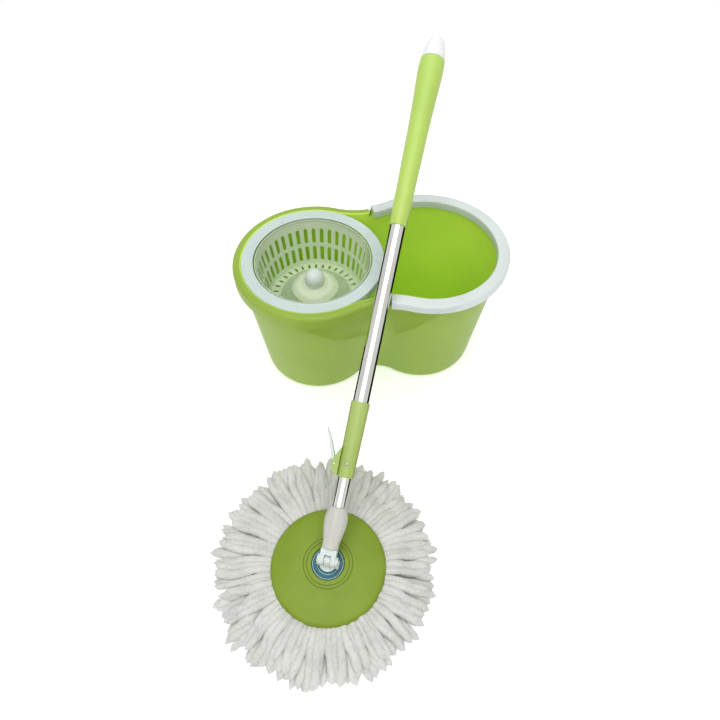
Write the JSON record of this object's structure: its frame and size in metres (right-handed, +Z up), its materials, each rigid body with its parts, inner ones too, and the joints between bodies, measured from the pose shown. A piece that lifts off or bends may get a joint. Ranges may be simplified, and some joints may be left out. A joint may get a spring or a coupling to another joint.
{
  "type": "spin mop",
  "caption": "Hand-press spin mop with a figure-eight bucket, slotted spin basket, folding carry handle and telescopic pole resting on the bucket.",
  "frame": {"origin": "on the floor, at the middle of the bucket's base under its waist", "axes": "+Z up, +X towards the wash lobe with the carry handle, -X towards the spin lobe, -Y towards the mop head, which lies in front of the bucket"},
  "size_m": [0.489, 0.7773, 0.4436],
  "materials": {
    "green_plastic": "injection moulded green plastic, soft gloss",
    "green_grip": "lighter green moulded grip and collar, soft gloss",
    "white_plastic": "white moulded plastic, satin",
    "frosted_plastic": "frosted, slightly see-through plastic",
    "steel_tube": "polished stainless tube",
    "pin_steel": "plain steel",
    "brass": "turned brass",
    "nylon": "grey nylon",
    "teal_badge": "dark teal round badge without lettering",
    "microfibre": "off-white microfibre loops"
  },
  "bodies": {
    "bucket": {"bucket_body": "green_plastic", "splash_ring": "white_plastic", "spindle_post": "green_plastic", "spindle_pin": "pin_steel", "thrust_washer": "brass", "bail_pin_front": "pin_steel", "bail_pin_back": "pin_steel"},
    "bail": {"bail_handle": "white_plastic"},
    "basket_bearing": {"basket_bush": "brass"},
    "basket": {"spin_basket": "frosted_plastic", "basket_knob": "white_plastic"},
    "mop_hub": {"swivel_hub": "white_plastic", "hub_retainer": "pin_steel"},
    "mop_head": {"mop_disc": "green_plastic", "disc_badge": "teal_badge", "strand_clip_ring": "white_plastic", "mop_strands": "microfibre"},
    "lower_pole": {"swivel_fork": "white_plastic", "fork_pin": "pin_steel", "knuckle": "white_plastic", "lower_tube": "steel_tube", "guide_bush": "nylon", "nut_seat": "nylon"},
    "spin_drive": {"drive_nut": "brass"},
    "upper_pole": {"upper_tube": "steel_tube", "twist_bar": "pin_steel", "bar_anchor": "nylon", "clamp_collar": "green_grip", "clamp_bush": "nylon", "lever_pin": "pin_steel", "clamp_screw": "pin_steel", "grip": "green_grip", "end_cap": "white_plastic"},
    "lever": {"lock_lever": "white_plastic"}
  },
  "joints": [
    {"name": "bail_swing", "type": "hinge", "parent": "bucket", "child": "bail", "pos_m": [0.02, 0, 0.2165], "axis": [0, -1, 0], "range_deg": [0, 50]},
    {"name": "basket_lift", "type": "slide", "parent": "bucket", "child": "basket_bearing", "axis": [0, 0, 1], "range_m": [0, 0.2]},
    {"name": "basket_spin", "type": "hinge", "parent": "basket_bearing", "child": "basket", "pos_m": [-0.09, 0, 0.12], "axis": [0, 0, 1], "continuous": true},
    {"name": "mop_lift", "type": "slide", "parent": "bucket", "child": "mop_hub", "axis": [0, 0, 1], "range_m": [0, 0.4]},
    {"name": "disc_spin", "type": "hinge", "parent": "mop_hub", "child": "mop_head", "pos_m": [-0.113, -0.405, 0.035], "axis": [0, 0, 1], "continuous": true},
    {"name": "handle_tilt", "type": "hinge", "parent": "mop_hub", "child": "lower_pole", "pos_m": [-0.113, -0.405, 0.062], "axis": [0.9336, -0.3584, 0], "range_deg": [0, 120]},
    {"name": "nut_spin", "type": "hinge", "parent": "lower_pole", "child": "spin_drive", "pos_m": [0.07845, 0.09373, 0.3667], "axis": [0.3113, 0.8109, 0.4954], "range_deg": [-1441, 1]},
    {"name": "pole_slide", "type": "slide", "parent": "lower_pole", "child": "upper_pole", "axis": [0.3113, 0.8109, 0.4954], "range_m": [0, 0.4]},
    {"name": "lever_swing", "type": "hinge", "parent": "upper_pole", "child": "lever", "pos_m": [-0.08949, -0.29493, 0.12542], "axis": [-0.1776, -0.4625, 0.8686], "range_deg": [-20, 65]}
  ],
  "couplings": [
    {"joint": "nut_spin", "follows": "pole_slide", "rad_per_m": -62.832}
  ]
}
